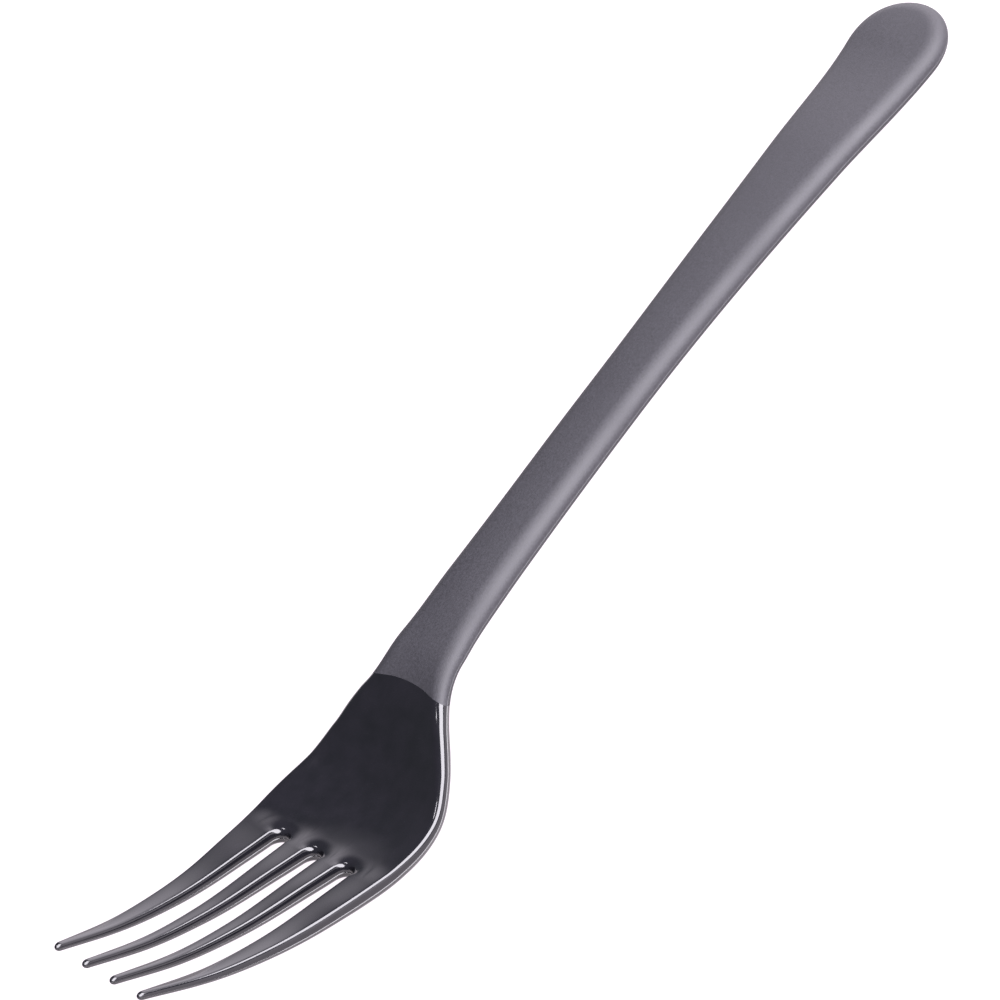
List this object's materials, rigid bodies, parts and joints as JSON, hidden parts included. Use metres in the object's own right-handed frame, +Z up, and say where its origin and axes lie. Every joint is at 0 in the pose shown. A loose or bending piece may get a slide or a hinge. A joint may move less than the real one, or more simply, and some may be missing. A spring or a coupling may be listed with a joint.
{
  "type": "dinner fork",
  "caption": "Dinner fork moulded in dark plastic, with a polished dished head, curved tines and a satin handle that widens to a rounded end.",
  "frame": {"origin": "middle of the fork's length and width, on the table the fork lies on: the centre of the bottom of its bounding box", "axes": "+X along the fork, from the tips of the tines to the end of the handle; +Y across it, the direction of Z cross X; +Z up, out of the hollow side of the head"},
  "size_m": [0.19, 0.029, 0.0277],
  "materials": {
    "head_gloss": "polished moulded plastic",
    "handle_satin": "satin spark-eroded moulded plastic"
  },
  "bodies": {
    "root": {"head": "head_gloss", "handle": "handle_satin"}
  },
  "joints": []
}
